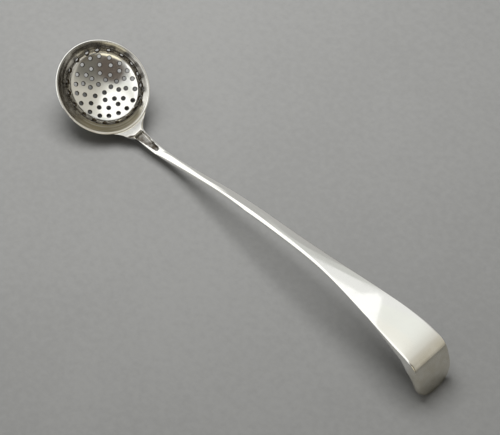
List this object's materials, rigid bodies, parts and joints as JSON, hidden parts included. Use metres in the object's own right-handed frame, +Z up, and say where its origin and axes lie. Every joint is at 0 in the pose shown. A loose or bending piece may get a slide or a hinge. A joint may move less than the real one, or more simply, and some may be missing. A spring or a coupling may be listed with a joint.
{
  "type": "sifter ladle",
  "caption": "Small ladle with a round pierced bowl, for sifting sugar over food, on a long slim arched handle that widens to a flat turned-down end.",
  "frame": {"origin": "on the table top, under the middle of the ladle's box, the ladle lying at rest on its bowl and on the tip of its handle", "axes": "+X from the bowl towards the tip of the handle, +Y across the handle, +Z up from the table"},
  "size_m": [0.1716, 0.0308, 0.0231],
  "materials": {
    "bowl_silver": "polished sterling silver, worn soft, with fine scratches and grey tarnish in the turn and the holes",
    "handle_silver": "polished forged sterling silver with fine scratches from use",
    "hard_solder": "silver solder, slightly duller and yellower than the silver"
  },
  "bodies": {
    "root": {"sifter_bowl": "bowl_silver", "handle": "handle_silver", "solder_seam": "hard_solder"}
  },
  "joints": []
}
